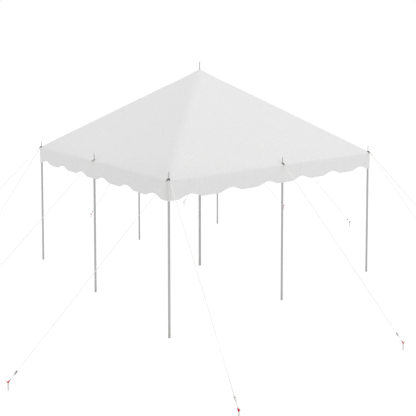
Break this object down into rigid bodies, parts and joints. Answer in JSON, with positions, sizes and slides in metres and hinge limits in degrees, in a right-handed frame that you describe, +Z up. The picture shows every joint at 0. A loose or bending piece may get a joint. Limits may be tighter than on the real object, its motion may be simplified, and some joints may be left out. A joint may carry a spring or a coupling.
{
  "type": "pole marquee tent",
  "caption": "Square pole marquee: a white pyramid roof with a scalloped valance on tubular poles, held by taut webbing guys with ratchets and stakes.",
  "frame": {"origin": "the foot of the centre pole, on the ground", "axes": "+Z up; the front faces -Y and the right side faces +X; the poles stand in a grid along X and Y"},
  "size_m": [12.6022, 12.5723, 5.382],
  "materials": {
    "canopy_fabric": "white coated polyester, matt satin",
    "pole_tube": "dull galvanised tube",
    "guy_webbing": "off-white woven polyester webbing",
    "ratchet_steel": "dark grey plated steel, worn bright at the edges",
    "stake_red_paint": "red paint on the stake's plate",
    "stake_steel": "dull galvanised steel rod"
  },
  "bodies": {
    "root": {"roof_front": "canopy_fabric", "valance_front": "canopy_fabric", "roof_right": "canopy_fabric", "valance_right": "canopy_fabric", "roof_back": "canopy_fabric", "valance_back": "canopy_fabric", "roof_left": "canopy_fabric", "valance_left": "canopy_fabric", "centre_pole": "pole_tube", "side_pole_front_left": "pole_tube", "side_pole_front_mid": "pole_tube", "side_pole_front_right": "pole_tube", "side_pole_right_mid": "pole_tube", "side_pole_back_right": "pole_tube", "side_pole_back_mid": "pole_tube", "side_pole_back_left": "pole_tube", "side_pole_left_mid": "pole_tube", "guy_strap_front_left_1": "guy_webbing", "ratchet_front_left_1": "ratchet_steel", "stake_front_left_1": "stake_red_paint", "guy_strap_front_left_2": "guy_webbing", "ratchet_front_left_2": "ratchet_steel", "stake_front_left_2": "stake_red_paint", "guy_strap_front_mid": "guy_webbing", "ratchet_front_mid": "ratchet_steel", "stake_front_mid": "stake_red_paint", "guy_strap_front_right_1": "guy_webbing", "ratchet_front_right_1": "ratchet_steel", "stake_front_right_1": "stake_red_paint", "guy_strap_front_right_2": "guy_webbing", "ratchet_front_right_2": "ratchet_steel", "stake_front_right_2": "stake_red_paint", "guy_strap_right_mid": "guy_webbing", "ratchet_right_mid": "ratchet_steel", "stake_right_mid": "stake_red_paint", "guy_strap_back_right_1": "guy_webbing", "ratchet_back_right_1": "ratchet_steel", "stake_back_right_1": "stake_red_paint", "guy_strap_back_right_2": "guy_webbing", "ratchet_back_right_2": "ratchet_steel", "stake_back_right_2": "stake_red_paint", "guy_strap_back_mid": "guy_webbing", "ratchet_back_mid": "ratchet_steel", "stake_back_mid": "stake_red_paint", "guy_strap_back_left_1": "guy_webbing", "ratchet_back_left_1": "ratchet_steel", "stake_back_left_1": "stake_red_paint", "guy_strap_back_left_2": "guy_webbing", "ratchet_back_left_2": "ratchet_steel", "stake_back_left_2": "stake_red_paint", "guy_strap_left_mid": "guy_webbing", "ratchet_left_mid": "ratchet_steel", "stake_left_mid": "stake_red_paint"}
  },
  "joints": []
}
